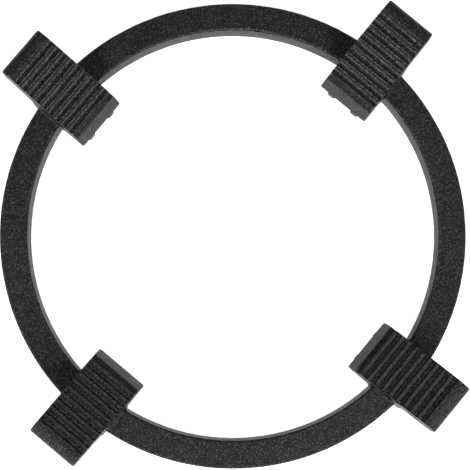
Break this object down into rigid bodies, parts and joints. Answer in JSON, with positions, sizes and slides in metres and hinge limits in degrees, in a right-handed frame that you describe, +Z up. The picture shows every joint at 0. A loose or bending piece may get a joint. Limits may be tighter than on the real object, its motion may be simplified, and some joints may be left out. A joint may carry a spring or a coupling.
{
  "type": "wok ring",
  "caption": "Cast iron wok ring for a gas hob: a flat band with stepped, inward-sloping jaws that hold a round wok, slotted below to drop over pan support fingers.",
  "frame": {"origin": "centre of the ring, on the plane that the feet of its legs stand on", "axes": "+Z up along the ring's axis; the jaws lie on +X, +Y, -X and -Y"},
  "size_m": [0.2702, 0.2702, 0.0448],
  "materials": {
    "cast_iron": "dull black, fine cast grain"
  },
  "bodies": {
    "root": {"wok_ring": "cast_iron"}
  },
  "joints": []
}
